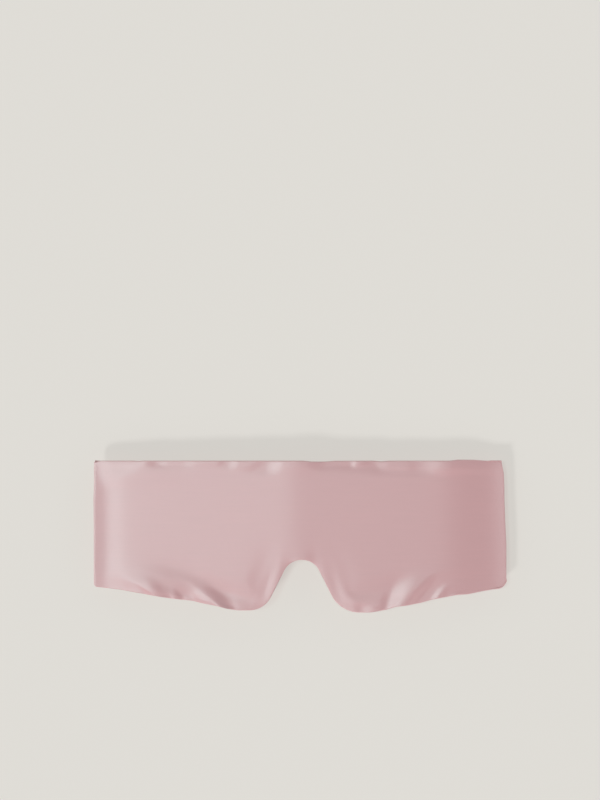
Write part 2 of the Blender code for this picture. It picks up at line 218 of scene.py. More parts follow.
# Gathers along the lower and the upper seams. A gather is made of flanks, in mm: (x at the
# seam, its shift for each step inwards, width, its growth for each step inwards, rise from left
# to right, length inwards).
LOWER_FLANKS = (
    (-117.0, -0.3, 9.0, 0.2, 0.60, 13.0),
    (-108.5, -0.5, 3.0, 0.0, -0.25, 2.5),
    (-86.0, -0.3, 36.0, 0.3, -1.80, 32.0),
    (-102.0, -1.8, 4.5, 0.0, 0.60, 8.0),
    (-94.5, -0.35, 12.0, 0.3, -1.80, 15.0),
    (-87.5, -0.5, 3.5, 0.0, 0.55, 4.0),
    (-82.0, -0.6, 4.0, 0.1, -0.60, 9.0),
    (-78.6, -0.5, 2.5, 0.0, 0.35, 3.0),
    (-75.4, -0.5, 2.5, 0.0, -0.35, 3.0),
    (-69.0, -0.8, 9.0, 0.0, 0.65, 8.5),
    (-58.5, -0.6, 4.5, 0.0, 0.55, 2.5),
    (-84.5, 0.3, 12.0, 1.1, -1.40, 24.0),
    (-49.4, -1.1, 10.0, 1.3, -3.60, 22.0),
    (-36.0, -0.6, 18.0, 0.0, -1.50, 12.0),
    (-27.0, 0.0, 10.0, 0.0, -1.10, 11.0),
    (25.0, 0.0, 13.0, 0.0, 0.85, 13.0),
    (31.5, 0.0, 14.0, 0.0, 0.90, 14.0),
    (39.5, 0.0, 5.0, 0.0, -0.25, 7.0),
    (46.5, 0.0, 9.0, 0.0, 0.95, 8.0),
    (57.5, 0.1, 6.0, 0.2, -0.55, 15.0),
    (63.2, 0.55, 12.0, 0.3, 2.10, 26.0),
    (75.5, 0.95, 8.5, 0.15, -2.00, 20.0),
    (91.5, 0.80, 5.5, 0.1, 0.85, 11.0),
    (97.0, 0.80, 4.5, 0.1, -0.50, 9.0),
    (104.5, 0.5, 4.0, 0.0, 0.30, 2.5),
    (109.0, 0.5, 4.0, 0.0, -0.30, 2.5),
)
UPPER_FLANKS = (
    (-136.5, 0.2, 11.0, 0.0, 1.25, 22.0),
    (-75.0, 0.0, 110.0, 0.0, 1.30, 10.0),
    (60.0, 0.0, 110.0, 0.0, 1.20, 10.0),
    (-115.0, -0.6, 15.0, 0.0, 0.85, 13.0),
    (-102.5, -0.2, 7.5, 0.1, -0.65, 6.0),
    (-94.0, 0.0, 6.0, 0.0, 0.32, 5.0),
    (-76.0, 0.0, 8.0, 0.0, 0.38, 6.0),
    (-54.0, -0.3, 5.0, 0.0, -0.45, 5.0),
    (-45.0, -0.3, 6.5, 0.0, 0.52, 8.0),
    (-27.0, -1.1, 8.0, 0.2, -0.45, 10.0),
    (-16.5, -0.3, 10.0, 0.2, 0.90, 12.0),
    (-9.0, 0.0, 18.0, 0.0, 0.55, 10.0),
    (11.0, 0.0, 14.0, 0.0, -0.80, 7.0),
    (37.0, 0.0, 5.0, 0.0, 0.75, 6.0),
    (46.0, 0.0, 8.0, 0.0, -0.40, 5.0),
    (56.0, 0.2, 9.0, 0.0, 0.75, 8.0),
    (68.0, 0.0, 16.0, 0.0, 0.70, 11.0),
    (92.0, 0.0, 26.0, 0.0, 2.80, 12.0),
)
FLANK_DECAY = 30.0 * MM  # a flank's height is lost again over this distance along the seam
NOTCH_CALM = (14 * MM, 34 * MM)  # lower gathers grow between these distances from the notch
# Beside the notch the front falls to its edge: side: (fall, reach).
NOTCH_ROLL = {-1: (0.65 * MM, 3.0 * MM), 1: (0.7 * MM, 5.5 * MM)}
ROLL_START = (2 * MM, 10 * MM)
ROLL_END = (30 * MM, 46 * MM)

# How finely the cloths are divided.
FRONT_COLUMNS = 117
UPPER_FOLD_COLUMNS = 12
LOWER_FOLD_COLUMNS = 14
WING_COLUMN = 2.6 * MM
# Distances from an edge of the rows next to it, in mm.
EDGE_ROWS = (
    (0.0, 0.015, 0.045, 0.1, 0.18, 0.3, 0.7, 1.4, 2.2, 3.0)
    + (3.9, 4.9, 6.0, 7.2, 8.4, 9.6, 10.8, 12.0)
)
MIDDLE_ROWS = 62
NOTCH_SPAN = 60 * MM  # the outline is a fine line of points between these limits
NOTCH_POINTS = 481
NOTCH_NEAR = 58 * MM
CLOTH = 0.4 * MM  # thickness of one cloth

# Padding, as parts of the way from the satin to the lining.
WING_PADDING = (0.22, 0.78)
# (piece, its top, its underside, slot, material, node)
FRONT_LAYERS = (
    ("front_padding", 0.12, 0.64, "wadding", "wadding", "front_wadding"),
    ("blackout_sheet", 0.68, 0.73, "blackout_cloth", "blackout", "blackout_layer"),
    ("face_padding", 0.77, 0.90, "wadding", "wadding", "face_wadding"),
)
FULL_WEIGHT = 0.999  # the wing's padding starts at the first column with more weight than this
WING_PADDING_ROWS = slice(6, -6)
FRONT_PADDING_ROWS = slice(7, -7)
FRONT_PADDING_END = 6  # columns left out before the fold
WING_PADDING_END = 2  # columns left out before the tip
PADDING_STEPS = (slice(None, None, 2), slice(None, None, 3))  # its grid is coarser

# The hook tab.
TAB_TIP_RADIUS = 12.0 * MM
TAB_EDGE_RISE = 3.0 * MM
TAB_ROOT_RISE = 0.6 * MM
TAB_ROWS = (0.0, 0.15, 0.45, 0.9, 1.5, 2.2, 3.0, 4.0)  # in mm, like EDGE_ROWS
TAB_MIDDLE_COLUMNS = 44
TAB_MIDDLE_ROWS = 26
RIPPLE = 0.12 * MM  # height of the puckers along the tab's seam
RIPPLE_LENGTH = 2.1 * MM
RIPPLE_SWING = 1.3  # how far the puckers are out of step ...
RIPPLE_DRIFT = 5.3 * MM  # ... in a cycle of this length
RIPPLE_REACH = 3 * MM  # they wear off from the seam over this distance

# Tapes and threads.
SELVAGE = 2.5 * MM
TAPE_CORNER = 1.0 * MM
TAPE_BASE = 0.5 * MM
TAPE_SOFT = 0.12 * MM  # rounding of a tape's edges
HOOK_PITCH = 1.5 * MM
HOOK_RADIUS = 0.065 * MM
LOOP_PITCH = 1.2 * MM
LOOP_RADIUS = 0.045 * MM
# Side view of one hook and of one loop: (out, up), in mm.
HOOK = ((0, 0), (0.0, 0.25), (0.03, 0.45), (0.12, 0.6), (0.24, 0.68), (0.35, 0.62), (0.4, 0.5))
LOOP = ((-0.22, 0), (-0.3, 0.2), (-0.2, 0.42), (0, 0.5), (0.2, 0.42), (0.3, 0.2), (0.22, 0))
PILE_ROOT = 0.05  # the pile starts this deep in the base, in mm
PILE_SEED = 10
PILE_SIDES = 4
PILE_HEADING = 0.35  # spread of the threads' headings, in radians
PILE_JITTER = 0.12  # spread of their places, as a part of the pitch
SEAM_STITCH = (2.3 * MM, 3.0 * MM, 0.18 * MM)  # length, spacing and radius of a stitch
TAPE_STITCH = (1.7 * MM, 2.4 * MM, 0.16 * MM)
TAPE_STITCH_PLACE = 0.42  # how far across the selvage the stitches run
TAPE_STITCH_LIFT = 0.06 * MM
UNSEWN = 5 * MM  # no stitch is this near to a fold
STITCH_SIDES = 6
# Rings of a stitch: (place along it, width), as parts of its length and of its radius.
STITCH_RINGS = ((-0.5, 0.35), (-0.36, 1.0), (0.36, 1.0), (0.5, 0.35))
ASKEW = (0.31, 0.17, 0.94)  # no stitch runs in this direction

# The studio.
FLOOR_HALF = 30.0
FLOOR_COLOUR = (0.227, 0.22, 0.206, 1)
FLOOR_GLOW = (1.066, 1.0, 0.943, 1)
FLOOR_GLOW_STRENGTH = 0.4905
# The sky's brightness goes from the third value to the fourth between these two heights.
SKY = {"From Min": 0.4, "From Max": 0.95, "To Min": 0.8, "To Max": 0.1}
SOFTBOX_TILT = math.radians(16.5)
KEY_STRENGTH = 0.33 * math.pi / 0.625  # lights a level white surface to 0.33 of full white
# light: (direction it shines from, strength, width in degrees, colour)
SUNS = {
    "softbox": (
        (-math.sin(SOFTBOX_TILT), 0.08, math.cos(SOFTBOX_TILT)), 0.76, 8, (0.70, 1, 0.98)
    ),
    "panel": ((0.02, 0.04, 1), 0.17, 12, (0.72, 1, 0.98)),
    "key": ((-0.75, -1, 1), KEY_STRENGTH, 9, (1, 1, 1)),
}
CAMERA_PLACE = (0.0, 0.094, 1.549)
CAMERA_LENS = 100


def smooth(low, high, value):
    """0 up to low, 1 from high, and an S curve between them."""
    part = np.clip((value - low) / (high - low), 0.0, 1.0)
    return part * part * (3 - 2 * part)


def mix(low, high, part):
    """low where part is 0, high where it is 1."""
    return low + (high - low) * part


def table_at(table, place):
    """Value at this place of a table of (place, value) pairs, with straight lines between."""
    return np.interp(place, *np.array(table).T)


# The outline and the sections.


def corner_cut(distance, radius):
    """How far a rounded corner pulls an edge in, at this distance from the corner."""
    short = np.clip(distance, 0.0, radius)
    return radius - np.sqrt(np.maximum(radius**2 - (radius - short) ** 2, 0.0))


def lower_edge_at(x):
    """y of the front's lower edge at x, without its waves."""
    side = -1 if x < NOTCH_X else 1
    inner, outer, lift = LOBES[side]
    inner, outer = inner - side * NOTCH_X, outer - side * NOTCH_X
    x = abs(x - NOTCH_X)
    low = LOBE_Y + lift
    depth = NOTCH_DEPTH - lift
    sine, cosine, tangent = math.sin(FLANK_ANGLE), math.cos(FLANK_ANGLE), math.tan(FLANK_ANGLE)
    arc_end, arc_end_y = NOTCH_RADIUS * sine, depth - NOTCH_RADIUS * (1 - cosine)
    flare = (tangent * (inner - arc_end) - arc_end_y) / (1 / cosine - 1)
    if x <= arc_end:
        return low + depth - NOTCH_RADIUS + math.sqrt(NOTCH_RADIUS**2 - x**2)
    if x <= inner - flare * sine:
        return low + arc_end_y - tangent * (x - arc_end)
    if x <= inner:
        return low + flare - math.sqrt(flare**2 - (inner - x) ** 2)
    if x <= outer:
        return low
    angle = math.atan(LOWER_SLOPE)
    arc = LOBE_RADIUS * math.sin(angle)
    if x <= outer + arc:
        return low + LOBE_RADIUS - math.sqrt(LOBE_RADIUS**2 - (x - outer) ** 2)
    straight = x - outer - arc
    return low + LOBE_RADIUS * (1 - math.cos(angle)) + LOWER_SLOPE * straight


def lower_edge(x):
    return np.array([lower_edge_at(value) for value in np.atleast_1d(x)])


def crest_table():
    """(x, height) of the front's satin along the middle of the band."""
    x = np.linspace(-HALF, HALF, CREST_POINTS)
    lean = table_at(LEAN, x / MM)
    reach = CREST_WINDOW
    window = np.exp(-0.5 * (np.arange(-reach, reach + 1) / CREST_BLUR) ** 2)
    lean = np.convolve(np.pad(lean, reach, "edge"), window / window.sum(), "valid")
    height = np.concatenate([[0.0], np.cumsum((lean[1:] + lean[:-1]) / 2 * np.diff(x))])
    return x, height - height.max() + RIDGE_Z


CREST = crest_table()


def crest(x):
    """Height of the front's crest at x."""
    return np.interp(x, *CREST)


def arc(count, power):
    """(out, along) of a quarter of a rounded square, from (0, 1) to (1, 0)."""
    turn = np.linspace(0, math.pi / 2, count)
    return np.sin(turn) ** (2 / power), np.cos(turn) ** (2 / power)


class Band:
    """The columns of one half: where its satin, its lining and its seam lie in section.

    They run from the middle of the front to the fold, round it and along the wing to its tip.
    x and the distances are worked out for the right half, and side mirrors them.
    """

    def __init__(self, side):
        self.side = side
        self.end = side * TIPS[side]
        x, z = self.satin_section()
        order = np.arange(len(x))
        inward = HALF - x
        self.on_wing = order >= self.fold
        self.turn = np.clip((order - self.front) / (self.turned - self.front), 0, 1)
        self.tip = np.where(self.on_wing, x - self.end, 1.0)
        self.weight = smooth(0, BEND_REACH, inward) * self.on_wing
        if side < 0:
            z = z + TAB_ROOM * smooth(*TAB_ROOM_SPAN, inward) * self.on_wing
        self.x, self.z = side * x, z
        steps = np.hypot(np.diff(x), np.diff(z))
        self.along = np.concatenate([[0.0], np.cumsum(steps)])
        self.place_seam_and_lining(x, order)
        self.place_edges(x, inward)

    def satin_section(self):
        """(x, z) of the satin's columns. Also notes which column begins each part of the fold."""
        side, start = self.side, HALF - FOLD_REACH
        front_x = np.linspace(0, start, FRONT_COLUMNS)
        out, down = arc(UPPER_FOLD_COLUMNS, UPPER_FOLD_POWER)
        upper_x = start + FOLD_REACH * out
        upper_z = FOLD_Z + (crest(side * start) - FOLD_Z) * down
        out, down = arc(LOWER_FOLD_COLUMNS, LOWER_FOLD_POWER)
        under_x = (HALF - UNDER_REACH + UNDER_REACH * out)[::-1]
        under_z = (FOLD_Z - (FOLD_Z - WING_LOW_Z) * down)[::-1]
        length = HALF - UNDER_REACH - self.end
        wing_x = np.linspace(HALF - UNDER_REACH, self.end, int(length / WING_COLUMN))
        wing_z = np.full(len(wing_x), WING_LOW_Z)
        self.front = len(front_x)
        self.fold = self.front + len(upper_x) - 1
        self.turned = self.fold + len(under_x) - 1
        x = np.concatenate([front_x, upper_x[1:], under_x[1:], wing_x[1:]])
        z = np.concatenate([crest(side * front_x), upper_z[1:], under_z[1:], wing_z[1:]])
        return x, z

    def place_seam_and_lining(self, x, order):
        """x and z of the seam and of the lining at each column."""
        pull = FOLD_PULL * np.sin(math.pi * self.turn)
        self.seam_x = self.side * (x - pull)
        self.seam_z = mix(SEAM_Z, WING_SEAM_Z, smooth(0, 1, self.turn))
        inside = np.minimum(x, HALF - LINING_REACH)
        ease = smooth(HALF - LINING_EASE, HALF, x)
        self.lining_x = self.side * np.where(self.on_wing, inside, mix(x, inside, ease**2))
        rise = smooth(0, 1, np.clip((order - self.fold) / (self.turned - self.fold), 0, 1))
        self.lining_z = mix(LINING_Z + LINING_GAP, WING_LINING_Z - LINING_GAP, rise)
        if self.side > 0:
            taper = smooth(self.end + END_TAPER, self.end + WING_EDGE_RISE, x) * self.on_wing
            self.seam_z = mix(self.seam_z, TAB_SEAM_Z, taper)
            self.lining_z = mix(self.lining_z, TAB_HIGH.z - LINING_GAP, taper)

    def place_edges(self, x, inward):
        """y of the lower edge and of the upper edge at each column."""
        ease = EDGE_EASE[self.side]
        eased = np.interp(x / MM, (*EDGE_EASE_SPAN, HALF / MM), (0, 0, ease)) * MM
        front_low = lower_edge(self.x) - eased + table_at(LOWER_WAVE, self.x / MM) * MM
        wing_low = lower_edge_at(self.side * HALF) + WING_LOW_SLOPE * inward - ease * MM
        tip_cut = corner_cut(self.tip, TIP_RADIUS)
        low = np.where(self.on_wing, wing_low, front_low)
        self.low = low + corner_cut(inward, CORNERS[self.side]) + tip_cut
        wave = table_at(TOP_WAVE, self.x / MM) * MM * ~self.on_wing
        self.top = wave + TOP_Y - WING_TOP_SLOPE * inward * self.on_wing - tip_cut


def row_places(low, top, close=EDGE_ROWS, count=MIDDLE_ROWS):
    """y of every row of each column: close together near both edges, evenly spread between."""
    near = np.array(close) * MM
    inner = np.linspace(0, 1, count)[1:-1]
    start, end = low[:, None] + near, top[:, None] - near[::-1]
    between = mix(start[:, -1:], end[:, :1], inner[None, :])
    return np.concatenate([start, between, end], 1)


def gathers(flanks, x, depth):
    """Height that the gathered folds along one seam add."""
    total = np.zeros_like(x)
    for place, shift, width, growth, rise, length in flanks:
        off = x - place * MM - shift * depth
        part = np.clip(off / (width * MM + growth * depth) + 0.5, 0, 1)
        form = mix(part, smooth(0, 1, part), 0.5) - 0.5
        fade = 1 - smooth(0.4 * length * MM, length * MM, depth)
        total += rise * MM * form * fade * np.exp(-np.abs(off) / FLANK_DECAY)
    return total


def notch_roll(x, lower):
    """How far the front falls towards each flank of the notch."""
    away = np.abs(x - NOTCH_X)
    beside = smooth(*ROLL_START, away) * (1 - smooth(*ROLL_END, away))
    fall, reach = (np.where(x < NOTCH_X, *pair) for pair in zip(*NOTCH_ROLL.values()))
    return beside * fall * np.exp(-lower / reach)


def relief(x, lower, upper):
    """Height that is added to the front, from the distances to both seams."""
    calm = smooth(*NOTCH_CALM, np.abs(x - NOTCH_X))
    high = gathers(LOWER_FLANKS, x, lower) * calm + gathers(UPPER_FLANKS, x, upper)
    drop = EDGE_DROP * (1 + smooth(*LEFT_DROP_SPAN, x))
    return high - drop * np.exp(-upper / EDGE_SOFT) - notch_roll(x, lower)


def edge_distances(band, y):
    """Distance of each point from the lower, upper and tip edges of its cloth."""
    low, top = band.low[:, None], band.top[:, None]
    lower = (y - low) / math.hypot(1, LOWER_SLOPE)
    edge_x = np.linspace(-NOTCH_SPAN, NOTCH_SPAN, NOTCH_POINTS)
    edge = np.stack([edge_x, lower_edge(edge_x)], 1)
    near = ~band.on_wing & (np.abs(band.x) < NOTCH_NEAR)
    points = np.stack([np.repeat(band.x[near, None], y.shape[1], 1), y[near]], -1)
    gap = np.linalg.norm(points[:, :, None] - edge[None, None], axis=-1).min(-1)
    lower[near] = np.minimum(gap, y[near] - low[near])
    return np.maximum(lower, 0), np.maximum(top - y, 0), band.tip[:, None] + 0 * y


def crown(distances, rises):
    """0 on the outline and 1 inside it, round like the edge of a cushion."""
    part = 1.0
    for distance, rise in zip(distances, rises):
        short = np.clip(1 - distance / rise, 0.0, 1.0)
        part = part * np.sqrt(1 - short**2)
    return part


def cloth_points(band, y, path_x, path_z, seam_shift):
    """Points of one cloth of the pillow, and their distances from the two long seams."""
    lower, upper, tip = edge_distances(band, y)
    rise = np.where(band.on_wing, WING_EDGE_RISE, EDGE_RISE)[:, None]
    part = crown((lower, upper, tip), (rise, rise, WING_EDGE_RISE))
    x = mix(band.seam_x[:, None], path_x[:, None], part)
    tuck = UNDERCUT * np.clip(1 - part, 0, 1) ** 3
    y = y + tuck * np.where(lower < upper, 1, -1)
    z = mix(band.seam_z[:, None] + seam_shift, path_z[:, None], part)
    return np.stack([x, y, z], -1), lower, upper


def slanted(band, points):
    """Shifts the points near a fold in or out, as the fold's line sways."""
    part = (points[..., 1] - band.low[:, None]) / (band.top - band.low)[:, None]
    shift = table_at(FOLD_SWAY[band.side], part) * MM
    x = points[..., 0]
    points[..., 0] = x + band.side * shift * smooth(SWAY_START, HALF, np.abs(x))
    return points


def satin_points(band, y):
    """The satin, with the front's relief, which wears off down the fold."""
    points, lower, upper = cloth_points(band, y, band.x, band.z, CLOTH_GAP)
    fold_top = crest(band.side * (HALF - FOLD_REACH))
    height = np.clip((band.z - FOLD_Z) / (fold_top - FOLD_Z), 0, 1)
    on_front = (~band.on_wing * height)[:, None]
    lift = relief(points[..., 0], lower, upper)
    points[..., 2] += lift * crown((lower, upper), (EDGE_RISE, EDGE_RISE)) * on_front
    return slanted(band, points)


def lining_points(band, y):
    """The lining, which is smooth."""
    return slanted(band, cloth_points(band, y, band.lining_x, band.lining_z, -CLOTH_GAP)[0])


# Mesh making.


def new_piece(name, vertices, faces, material):
    """A smooth mesh object with this material."""
    mesh = bpy.data.meshes.new(name)
    mesh.from_pydata(vertices, [], faces)
    mesh.materials.append(material)
    mesh.shade_smooth()
    piece = bpy.data.objects.new(name, mesh)
    bpy.context.scene.collection.objects.link(piece)
    return piece


def grid_faces(columns, rows, flip=False, start=0):
    """Quads of a grid whose points are numbered along its rows, from start."""
    index = np.arange(columns * rows).reshape(columns, rows) + start
    quads = np.stack([index[:-1, :-1], index[1:, :-1], index[1:, 1:], index[:-1, 1:]], -1)
    quads = quads.reshape(-1, 4)
    return quads[:, ::-1] if flip else quads


def add_weave_map(piece, uv):
    """A UV map in mm, across and along the band, from a (u, v) of each vertex."""
    mesh = piece.data
    layer = mesh.uv_layers.new(name="weave")
    corners = np.zeros(len(mesh.loops), np.int32)
    mesh.loops.foreach_get("vertex_index", corners)
    layer.data.foreach_set("uv", uv.reshape(-1, 2)[corners].astype(np.float32).ravel())


def normals_of(points):
    """Unit normals of a grid of points, along columns x rows."""
    normal = np.cross(np.gradient(points, axis=0), np.gradient(points, axis=1))
    return normal / np.maximum(np.linalg.norm(normal, axis=-1, keepdims=True), 1e-12)


def slab(name, upper, lower, material, flip=False):
    """A closed body between two grids of points, with a flat-shaded rim."""
    columns, rows = upper.shape[:2]
    count = columns * rows
    faces = [grid_faces(columns, rows, flip), grid_faces(columns, rows, not flip, count)]
    index = np.arange(count).reshape(columns, rows)
    rim = np.concatenate([index[:, 0], index[-1, 1:], index[-2::-1, -1], index[0, -2::-1]])
    sides = np.stack([rim[:-1], rim[:-1] + count, rim[1:] + count, rim[1:]], -1)
    faces.append(sides[:, ::-1] if flip else sides)
    points = np.concatenate([upper.reshape(-1, 3), lower.reshape(-1, 3)])
    piece = new_piece(name, points.tolist(), np.concatenate(faces).tolist(), material)
    shaded = np.ones(len(piece.data.polygons), bool)
    shaded[-len(sides) :] = False
    piece.data.polygons.foreach_set("use_smooth", shaded)
    ends = np.zeros(2 * len(piece.data.edges), np.int32)
    piece.data.edges.foreach_get("vertices", ends)
    on_rim = np.zeros(2 * count, bool)
    on_rim[rim] = on_rim[rim + count] = True
    piece.data.edges.foreach_set("use_edge_sharp", on_rim[ends.reshape(-1, 2)].all(1))
    return piece


def cloth_sheet(name, points, uv, material, flip):
    """One cloth as a grid of points, thickened inwards."""
    inner = points - normals_of(points) * (-CLOTH if flip else CLOTH)
    piece = slab(name, points, inner, material, flip)
    add_weave_map(piece, np.concatenate([uv.reshape(-1, 2), uv.reshape(-1, 2)]))
    return piece


def bend_along(piece):
    """Bakes the piece's transform into its mesh; the piece is not bent with the fold."""
    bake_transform(piece)


# Materials.


def new_material(name):
    """(material, its node tree, its shader)"""
    material = bpy.data.materials.new(name)
    material.use_nodes = True
    tree = material.node_tree
    return material, tree, tree.nodes["Principled BSDF"]


def add_node(tree, kind, settings=None, **values):
    """Adds a node: settings are its options, values its inputs by name with _ for a space."""
    node = tree.nodes.new("ShaderNode" + kind)
    for option, value in (settings or {}).items():
        setattr(node, option, value)
    for name, value in values.items():
        socket = node.inputs[name.replace("_", " ")]
        if hasattr(value, "links"):
            tree.links.new(value, socket)
        else:
            socket.default_value = value
    return node


def varied_colour(tree, shader, colour, pattern, amount):
    """Base colour that a 0..1 pattern darkens and lightens by the amount."""
    factor = add_node(tree, "MapRange", Value=pattern, To_Min=1 - amount, To_Max=1 + amount)
    tint = add_node(tree, "VectorMath", {"operation": "SCALE"}, Scale=factor.outputs[0])
    tint.inputs[0].default_value = colour
    tree.links.new(tint.outputs[0], shader.inputs["Base Color"])


def varied_roughness(tree, shader, roughness, pattern, amount):
    """Roughness that a 0..1 pattern moves up and down by the amount."""
    low, high = roughness - amount, roughness + amount
    value = add_node(tree, "MapRange", Value=pattern, To_Min=low, To_Max=high)
    tree.links.new(value.outputs[0], shader.inputs["Roughness"])


def add_bump(tree, shader, height, strength, distance):
    """Fine relief of the surface: distance is how far a height of 1 stands out."""
    bump = add_node(tree, "Bump", Strength=strength, Distance=distance, Height=height)
    tree.links.new(bump.outputs[0], shader.inputs["Normal"])


def satin_material(name, colour, roughness, ior):
    """Long staggered floats of shiny thread, with faint slubs along them."""
    material, tree, shader = new_material(name)
    shader.inputs["IOR"].default_value = ior
    shader.inputs["Anisotropic"].default_value = 0.6
    tangent = add_node(tree, "Tangent", {"direction_type": "UV_MAP", "uv_map": "weave"})
    tree.links.new(tangent.outputs[0], shader.inputs["Tangent"])
    place = add_node(tree, "UVMap", {"uv_map": "weave"}).outputs[0]
    fine = add_node(tree, "Mapping", Vector=place, Scale=(1.0, 0.16, 1)).outputs[0]
    floats = add_node(tree, "TexNoise", Vector=fine, Scale=3.6, Detail=2.0, Roughness=0.6)
    add_bump(tree, shader, floats.outputs[0], 0.5, 0.03 * MM)
    stretched = add_node(tree, "Mapping", Vector=place, Scale=(0.9, 0.035, 1)).outputs[0]
    slubs = add_node(tree, "TexNoise", Vector=stretched, Scale=1.0, Detail=3.0).outputs[0]
    varied_colour(tree, shader, colour, slubs, 0.035)
    varied_roughness(tree, shader, roughness, slubs, 0.012)
    return material


def fibre_material(name, colour, roughness, scale, bump):
    """Matted fibres of wadding or of bonded cloth."""
    material, tree, shader = new_material(name)
    place = add_node(tree, "TexCoord").outputs["Object"]
    fibres = add_node(
        tree, "TexNoise", Vector=place, Scale=scale, Detail=5.0, Roughness=0.7, Distortion=2.0
    ).outputs[0]
    tufts = add_node(tree, "TexVoronoi", Vector=place, Scale=scale / 6).outputs[0]
    both = add_node(tree, "Math", {"operation": "ADD"}).outputs[0]
    tree.links.new(fibres, both.node.inputs[0])
    tree.links.new(tufts, both.node.inputs[1])
    varied_colour(tree, shader, colour, fibres, 0.08)
    varied_roughness(tree, shader, roughness, fibres, 0.04)
    add_bump(tree, shader, both, bump, 0.2 * MM)
    return material


def woven_material(name, colour, roughness, pitch):
    """Plain weave: two sets of threads, pitch in mm."""
    material, tree, shader = new_material(name)
    place = add_node(tree, "TexCoord").outputs["Object"]
    height = add_node(tree, "Math", {"operation": "MAXIMUM"}).outputs[0]
    for socket, direction in enumerate(("X", "Y")):
        wave = add_node(
            tree,
            "TexWave",
            {"bands_direction": direction},
            Vector=place,
            Scale=2 * math.pi / (pitch * MM * 20),
            Distortion=0.4,
            Detail=1.0,
        )
        tree.links.new(wave.outputs["Fac"], height.node.inputs[socket])
    grain = add_node(tree, "TexNoise", Vector=place, Scale=600.0, Detail=2.0).outputs[0]
    varied_colour(tree, shader, colour, height, 0.12)
    varied_roughness(tree, shader, roughness, grain, 0.08)
    add_bump(tree, shader, height, 0.5, 0.08 * MM)
    return material


def nylon_material(name, colour):
    """Thin glossy monofilament."""
    material, tree, shader = new_material(name)
    shader.inputs["IOR"].default_value = 1.53
    place = add_node(tree, "TexCoord").outputs["Object"]
    patches = add_node(tree, "TexNoise", Vector=place, Scale=300.0, Detail=2.0).outputs[0]
    varied_colour(tree, shader, colour, patches, 0.15)
    varied_roughness(tree, shader, 0.4, patches, 0.1)
    return material


def thread_material(name, colour):
    """Twisted sewing thread."""
    material, tree, shader = new_material(name)
    shader.inputs["Sheen Weight"].default_value = 0.2
    place = add_node(tree, "TexCoord").outputs["Object"]
    twist = add_node(
        tree,
        "TexWave",
        {"bands_direction": "DIAGONAL"},
        Vector=place,
        Scale=900.0,
        Distortion=0.5,
    ).outputs["Fac"]
    varied_colour(tree, shader, colour, twist, 0.12)
    varied_roughness(tree, shader, 0.55, twist, 0.06)
    add_bump(tree, shader, twist, 0.4, 0.04 * MM)
    return material


def floor_material():
    """Pale and matt, with a glow that keeps it even."""
    material, _, shader = new_material("pale_floor")
    shader.inputs["Base Color"].default_value = FLOOR_COLOUR
    shader.inputs["Roughness"].default_value = 0.9
    shader.inputs["Specular IOR Level"].default_value = 0.0
    shader.inputs["Emission Color"].default_value = FLOOR_GLOW
    shader.inputs["Emission Strength"].default_value = FLOOR_GLOW_STRENGTH
    return material


# The studio.


def add_sun(name, toward, strength, width, colour):
    """A distant lamp that shines from this direction."""
    data = bpy.data.lights.new(name, "SUN")
    data.angle = math.radians(width)
    data.energy = strength
    data.color = colour
    light = bpy.data.objects.new(name, data)
    light.rotation_euler = Vector(toward).to_track_quat("Z", "Y").to_euler()
    bpy.context.scene.collection.objects.link(light)
    return light


def add_floor():
    mesh = bpy.data.meshes.new("floor")
    r = FLOOR_HALF
    mesh.from_pydata([(-r, -r, 0), (r, -r, 0), (r, r, 0), (-r, r, 0)], [], [(0, 1, 2, 3)])
    floor = bpy.data.objects.new("floor", mesh)
    mesh.materials.append(floor_material())
    bpy.context.scene.collection.objects.link(floor)


def add_sky():
    """A white sky that darkens from the horizon to the top."""
    world = bpy.data.worlds.new("studio")
    bpy.context.scene.world = world
    world.use_nodes = True
    tree = world.node_tree
    direction = tree.nodes.new("ShaderNodeTexCoord")
    split = tree.nodes.new("ShaderNodeSeparateXYZ")
    tree.links.new(direction.outputs["Generated"], split.inputs[0])
    height = tree.nodes.new("ShaderNodeMapRange")
    height.interpolation_type = "SMOOTHSTEP"
    for socket, value in SKY.items():
        height.inputs[socket].default_value = value
    tree.links.new(split.outputs["Z"], height.inputs["Value"])
    tree.links.new(height.outputs["Result"], tree.nodes["Background"].inputs["Strength"])
    tree.nodes["Background"].inputs["Color"].default_value = (1, 1, 1, 1)


def add_camera():
    data = bpy.data.cameras.new("camera")
    data.lens = CAMERA_LENS
    camera = bpy.data.objects.new("camera", data)
    camera.location = CAMERA_PLACE
    bpy.context.scene.collection.objects.link(camera)
    bpy.context.scene.camera = camera


def studio():
    """The key shows in no reflection: the softbox and the panel give the satin its shine."""
    add_floor()
    add_sky()
    lights = {name: add_sun(name, *settings) for name, settings in SUNS.items()}
    lights["key"].visible_glossy = False
    add_camera()
    bpy.context.scene.view_settings.view_transform = "Standard"


# Pieces.


def build_half(side, materials):
    """The satin, the lining and the wing's padding of one half."""
    word = SIDES[side]
    band = Band(side)
    y = row_places(band.low, band.top)
    satin, lining = satin_points(band, y), lining_points(band, y)
    along = np.repeat(band.along[:, None], y.shape[1], 1)
    uv = np.stack([y / MM, along / MM], -1)
    left = side < 0
    piece = cloth_sheet("satin_" + word, satin, uv, materials["satin"], left)
    bend_along(piece)
    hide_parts("front_satin", word + "_wing_satin")
    name = "lining_" + word
    piece = cloth_sheet(name, lining, uv, materials["lining"], not left)
    bend_along(piece)
    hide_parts("face_lining", word + "_wing_lining")
    build_wing_padding(side, band, satin, lining, materials)
    return band, satin, lining


